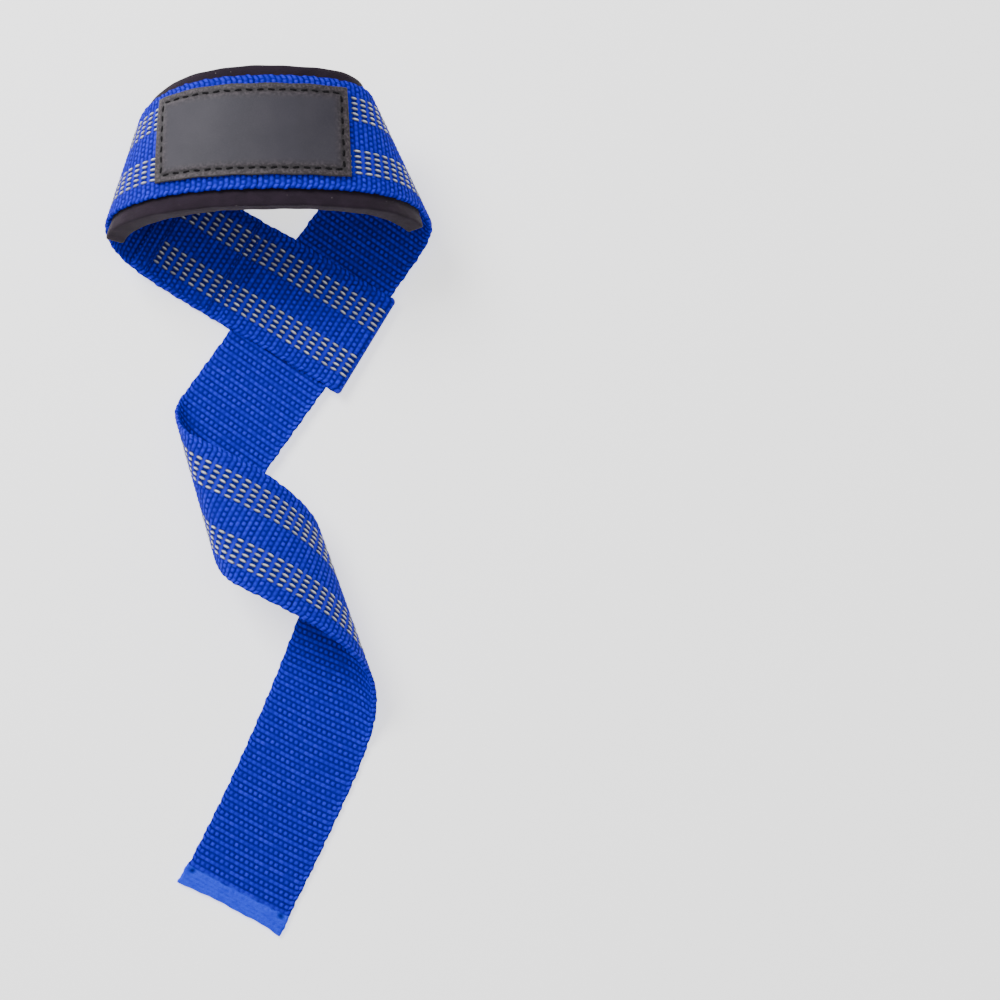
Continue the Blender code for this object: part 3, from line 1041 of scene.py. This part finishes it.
def float_material():
    g = Graph("grey_floats")
    a, b, high = g.parts("spot")
    shade = g.number("shade")
    lines = g.noise(g.vector(g.times(a, 0.6), g.times(b, 5.0), shade), 3.0)
    # Painted shade on each float's sides, painted light on its top
    grey = g.mix(g.ramp(high, 0.4, 0.95), FLOAT_SIDE_SHADE, FLOAT_TOP_LIT)
    # A painted highlight a little off each float's middle, stronger on some floats than others
    off_highlight = g.math("ABSOLUTE", g.plus(b, 0.22))
    highlight = g.times(g.ramp(high, 0.62, 0.94), g.rest(g.ramp(off_highlight, 0.12, 0.6)))
    grey = g.tint(grey, highlight, g.plus(0.35, g.times(shade, 0.9)), FLOAT_HIGHLIGHT)
    grey = g.tint(grey, g.ramp(lines, 0.4, 0.7), 0.2, FLOAT_LINE)
    g.bump(lines, 0.00008)
    return g.finish(grey, 0.30, 0.8, 0.1)


def foam_material():
    g = Graph("foam")
    place = g.vector(*g.parts("cloth"))
    pores = g.noise(place, 2600.0, 4.0, 0.65)
    mottle = g.noise(place, 220.0, 3.0)
    specks = g.rest(g.ramp(g.cells(place, 520.0), 0.05, 0.10))
    rare = g.ramp(g.noise(place, 420.0, 1.0), 0.60, 0.66)
    colour = g.mix(g.ramp(mottle, 0.3, 0.7), FOAM_DARK, FOAM_LIGHT)
    colour = g.tint(colour, g.ramp(pores, 0.45, 0.75), 0.5, FOAM_PORE)
    colour = g.tint(colour, g.times(specks, rare), 0.6, FOAM_SPECK)
    g.bump(g.plus(pores, g.times(mottle, 1.5)), 0.00022)
    return g.finish(colour, 0.88, 0.2, 0.12, FOAM_SHEEN)


def patch_material():
    g = Graph("patch_cloth")
    t, w, o = g.parts("cloth")
    place = g.vector(t, w, o)
    grain = g.noise(place, 3200.0, 3.0, 0.6)
    broad = g.noise(place, 90.0, 3.0)
    mottle = g.noise(place, 1100.0, 3.0, 0.6)
    top = g.mix(g.ramp(broad, 0.3, 0.7), PATCH_DARK, PATCH_LIGHT)
    top = g.tint(top, g.ramp(grain, 0.4, 0.8), 0.25, PATCH_GRAIN)
    border = g.mix(g.ramp(mottle, 0.38, 0.66), BORDER_DARK, BORDER_LIGHT)
    off_t = g.math("ABSOLUTE", g.math("SUBTRACT", t, PATCH_MIDDLE))
    off_w = g.math("ABSOLUTE", g.math("SUBTRACT", w, PATCH_AXIS))
    inside = g.math("MINIMUM", g.math("SUBTRACT", PATCH_LENGTH / 2, off_t),
                    g.math("SUBTRACT", PATCH_HALF, off_w))
    uneven = g.plus(inside, g.times(g.noise(place, 700.0, 2.0), 0.0010))
    colour = g.mix(g.ramp(uneven, STITCH_INSET, STITCH_INSET + BORDER_FADE), border, top)
    # Painted shade in the groove along the stitches
    off_row = g.math("ABSOLUTE", g.math("SUBTRACT", inside, STITCH_INSET))
    colour = g.tint(colour, g.rest(g.ramp(off_row, 0.0003, 0.0011)), 0.65, PATCH_GROOVE_SHADE)
    colour = g.tint(colour, g.rest(g.ramp(inside, 0.0001, PATCH_RIM)), 0.7, PATCH_EDGE)
    g.bump(g.plus(grain, g.times(broad, 0.6)), 0.00007)
    return g.finish(colour, 0.62, 0.35, 0.15)


def thread_material(name, low, high):
    g = Graph(name)
    a, b, _ = g.parts("spot")
    turns = g.wave(g.plus(g.times(a, 1.4), g.times(b, 0.45)), 1.6)
    g.bump(turns, 0.0001)
    return g.finish(g.mix(g.ramp(turns, 0.2, 0.8), low, high), 0.8, 0.1)


def patch_shape(t, w, o):
    """The patch's border lies lower than its middle, with a groove along the stitches."""
    inside = np.minimum(PATCH_LENGTH / 2 - np.abs(t - PATCH_MIDDLE),
                        PATCH_HALF - np.abs(w - PATCH_AXIS))
    high = o > PATCH_LOW + PATCH_THICK * 0.6
    raised = smooth(fade(inside - STITCH_INSET, BORDER_RISE))
    groove = np.exp(-((inside - STITCH_INSET) / GROOVE_HALF) ** 2)
    pulled = 0.5 + 0.5 * np.cos((t + w) * 2 * math.pi / STITCH_PITCH)
    drop = BORDER_DROP * (1 - raised) + GROOVE_DEPTH * groove * (0.5 + 0.5 * pulled)
    drop = drop - waves(PATCH_TOP_WAVES, t, w) * raised
    wander = waves(PATCH_RIM_WAVES, t, w) * fade(PATCH_RIM - inside, PATCH_RIM)
    return t, w + np.sign(w) * wander, o - np.where(high, drop, 0)


def pad_shape(t, w, o):
    """The foam stands up a little beside the webbing, and its cut edges wander."""
    share = (o - (PAD_TOP - PAD_THICK)) / PAD_THICK
    beside = smooth(fade(np.abs(w) - HALF - SWELL_START, SWELL_WIDTH))
    from_end = PAD_LENGTH / 2 - np.abs(t - ARCH_MIDDLE)
    swell = SWELL * beside * fade(from_end, SWELL_FROM_END)
    rim = fade(np.abs(w) - HALF, SIDE_WIDTH)
    wander = waves(FOAM_WAVES, t) + waves(FOAM_CUT_WAVES, t, share)
    slant = SIDE_SLANT * (share - 0.5)
    return t, w + np.sign(w) * (wander + slant) * rim, o + swell * share


def stitch_places(start, end):
    """Stitches of about one pitch between two places, each given by its middle."""
    count = round((end - start) / STITCH_PITCH)
    return [start + (n + 0.5) * (end - start) / count for n in range(count)]


def patch_stitches():
    """Black threads along the four sides of the patch's border."""
    low = -HALF + PATCH_INSET_FAR + STITCH_INSET
    high = HALF - PATCH_INSET_NEAR - STITCH_INSET
    start = PATCH_START + STITCH_INSET
    end = PATCH_START + PATCH_LENGTH - STITCH_INSET
    out = PATCH_LOW + PATCH_THICK - STITCH_SUNK
    runs = []
    for n, t in enumerate(stitch_places(start, end)):
        lean = STITCH_LEAN * (-1) ** n
        runs += [(t, low, lean, out), (t, high, -lean, out)]
    for n, w in enumerate(stitch_places(low, high)):
        lean = STITCH_LEAN * (-1) ** n
        runs += [(start, w, 90.0 + lean, out), (end, w, 90.0 - lean, out)]
    return runs


def seam_stitches():
    """Blue threads that hold the folded-back end down: a box with two cross rows."""
    runs = []
    out = WEB_THICK / 2 + SEAM_PROUD
    first = FOLD_END - EYE_LENGTH - SEAM_FROM_EYE
    last = path.travel[0] + SEAM_FROM_END
    for row in (first, first - SEAM_ROW_GAP, last, last + SEAM_ROW_GAP):
        for n in range(SEAM_ACROSS):
            w = (n - (SEAM_ACROSS - 1) / 2) * SEAM_PITCH
            runs.append((row, w, 90.0 + SEAM_LEAN * (-1) ** n, out))
    start = first - SEAM_SIDE_START
    end = last + SEAM_SIDE_START
    for side in (-1, 1):
        for n in range(SEAM_ALONG):
            t = start + (end - start) * (n + 0.5) / SEAM_ALONG
            runs.append((t, side * SEAM_SIDE, 0.0, out))
    return runs


blue = web_material()
cuts = [FLOAT_START + RIB_PITCH * (n + 0.5) for n in CUT_RIBS]
stretches = (
    ("webbing_eye", path.travel[0], cuts[0]),
    ("webbing_arch", cuts[0], cuts[1]),
    ("webbing_roll", cuts[1], cuts[2]),
    ("webbing_tail", cuts[2], STRAP_LENGTH),
)
for name, start, end in stretches:
    mesh = web_piece(name, start, end)
    replaced = ("webbing_strap",) if name == "webbing_eye" else ()
    link(name, mesh, blue, replaced)
link("stripe_floats", float_mesh("stripe_floats"), float_material())

pad_mesh = slab("foam_pad", ARCH_MIDDLE - PAD_LENGTH / 2, PAD_LENGTH, -HALF - PAD_FAR,
                HALF + PAD_NEAR, PAD_TOP - PAD_THICK, PAD_TOP, *PAD_GRID, PAD_ROUND, pad_shape)
pad = link("foam_pad", pad_mesh, foam_material(), ("wrist_pad",))

patch_mesh = slab("bare_patch", PATCH_START, PATCH_LENGTH, -HALF + PATCH_INSET_FAR,
                  HALF - PATCH_INSET_NEAR, PATCH_LOW, PATCH_LOW + PATCH_THICK, *PATCH_GRID,
                  PATCH_ROUND, patch_shape)
patch = link("bare_patch", patch_mesh, patch_material(), ("label_patch",))
black = thread_material("black_thread", BLACK_DARK, BLACK_LIGHT)
navy = thread_material("blue_thread", BLUE_DARK, BLUE_LIGHT)
black_stitches = link("patch_stitches", stitch_mesh(
    "patch_stitches", patch_stitches(), *BLACK_THREAD), black)
blue_stitches = link("seam_stitches", stitch_mesh(
    "seam_stitches", seam_stitches(), *BLUE_THREAD), navy)


# The white table and the studio light
def table_material():
    g = Graph("table_white")
    g.shader.inputs["Emission Color"].default_value = (1.0, 1.0, 1.0, 1.0)
    g.shader.inputs["Emission Strength"].default_value = TABLE_GLOW
    return g.finish(TABLE_COLOUR, 0.9, 0.1)


corners = [(x * TABLE_REACH, y * TABLE_REACH, TABLE_TOP)
           for x, y in ((-1, -1), (1, -1), (1, 1), (-1, 1))]
floor_mesh = mesh_of("table", corners, [(0, 1, 2, 3)])
floor_mesh.materials.append(table_material())
floor = bpy.data.objects.new("table", floor_mesh)
bpy.context.scene.collection.objects.link(floor)

world = bpy.data.worlds.new("studio")
bpy.context.scene.world = world
world.use_nodes = True
background = world.node_tree.nodes["Background"]
background.inputs["Color"].default_value = (1.0, 1.0, 1.0, 1.0)
background.inputs["Strength"].default_value = WORLD_LIGHT

for light in LIGHTS:
    lamp = bpy.data.lights.new(light.name, "AREA")
    lamp.shape = "SQUARE"
    lamp.size = light.size
    lamp.energy = light.power
    thing = bpy.data.objects.new(light.name, lamp)
    thing.location = light.place
    thing.rotation_euler = Vector(light.place).to_track_quat("Z", "Y").to_euler()
    bpy.context.scene.collection.objects.link(thing)

camera_data = bpy.data.cameras.new("camera")
camera_data.sensor_width = 36.0
camera_data.lens = LENS
camera_data.clip_start = 0.01
camera_data.clip_end = 20.0
camera = bpy.data.objects.new("camera", camera_data)
turn = Matrix.Identity(3)
for angle, axis in CAMERA_TURNS:
    turn = turn @ Matrix.Rotation(math.radians(angle), 3, axis)
camera.matrix_world = Matrix.Translation(CAMERA_PLACE) @ turn.transposed().to_4x4()
bpy.context.scene.collection.objects.link(camera)
bpy.context.scene.camera = camera
